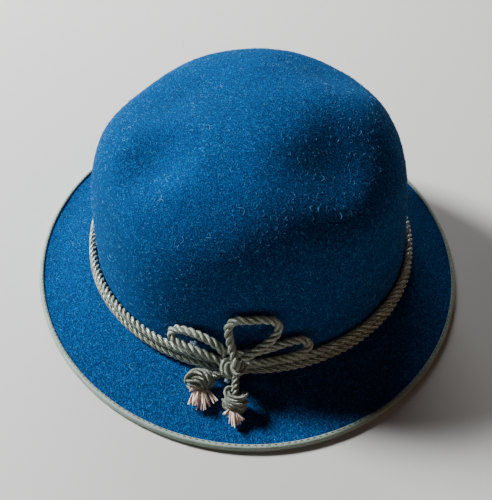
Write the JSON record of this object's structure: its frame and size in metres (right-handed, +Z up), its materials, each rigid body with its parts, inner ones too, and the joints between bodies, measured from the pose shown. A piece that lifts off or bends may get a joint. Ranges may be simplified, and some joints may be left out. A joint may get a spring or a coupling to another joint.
{
  "type": "alpine hat",
  "caption": "Felt alpine hat with a dented round crown, a bound flat brim, and a twisted cord band tied in a bow with knotted, frayed ends.",
  "frame": {"origin": "under the middle of the brim, on the surface that the hat stands on", "axes": "+Z up through the crown, -Y towards the front with the bow, +X towards the wearer's left"},
  "size_m": [0.2244, 0.2718, 0.0978],
  "materials": {
    "felt": "brushed blue wool felt",
    "ribbon": "grey-green grosgrain ribbon",
    "cord": "satin grey-green twisted cord"
  },
  "bodies": {
    "root": {"felt_body": "felt", "brim_binding": "ribbon", "band_cord_lower": "cord", "band_cord_upper": "cord", "centre_knot": "cord", "top_loop": "cord", "left_loop": "cord", "right_loop": "cord", "left_end_knot": "cord", "right_end_knot": "cord"}
  },
  "joints": []
}
